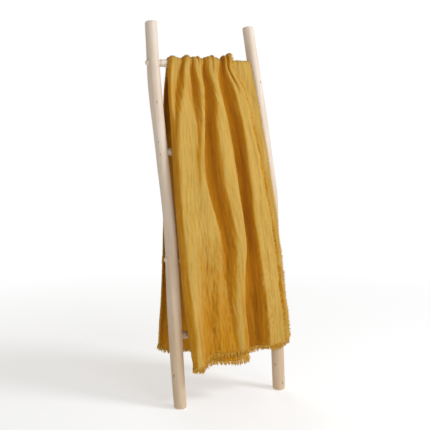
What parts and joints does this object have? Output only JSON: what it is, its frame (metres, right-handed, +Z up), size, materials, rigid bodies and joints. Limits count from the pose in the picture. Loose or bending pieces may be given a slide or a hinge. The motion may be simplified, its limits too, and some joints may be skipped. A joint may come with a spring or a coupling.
{
  "type": "quilt on a leaning ladder rack",
  "caption": "Crinkled double-gauze quilt with frayed edges, folded lengthwise and draped over the top rung of a leaning rustic wooden ladder rack.",
  "frame": {"origin": "on the floor, under the middle of the object's overall box", "axes": "+X to the right seen from the front, +Y back towards the wall that the ladder leans on, +Z up"},
  "size_m": [0.5492, 0.3297, 1.4822],
  "materials": {
    "pole_wood": "peeled and sanded pale wood, uncoated matt",
    "rung_wood": "sanded pale wood, uncoated matt",
    "screw_steel": "zinc plated",
    "quilt_cloth": "crinkled cotton double gauze, matt mustard",
    "fringe_yarn": "frayed cotton yarn, matt mustard"
  },
  "bodies": {
    "rack": {"pole_left": "pole_wood", "pole_right": "pole_wood", "rung_1": "rung_wood", "rung_2": "rung_wood", "rung_3": "rung_wood", "rung_4": "rung_wood", "joint_screws": "screw_steel"},
    "folded_quilt": {"quilt": "quilt_cloth", "front_fringe": "fringe_yarn", "back_fringe": "fringe_yarn"}
  },
  "joints": [
    {"name": "quilt_lift", "type": "slide", "parent": "rack", "child": "folded_quilt", "axis": [0, 0.165, 0.9863], "range_m": [0, 1.4]}
  ]
}
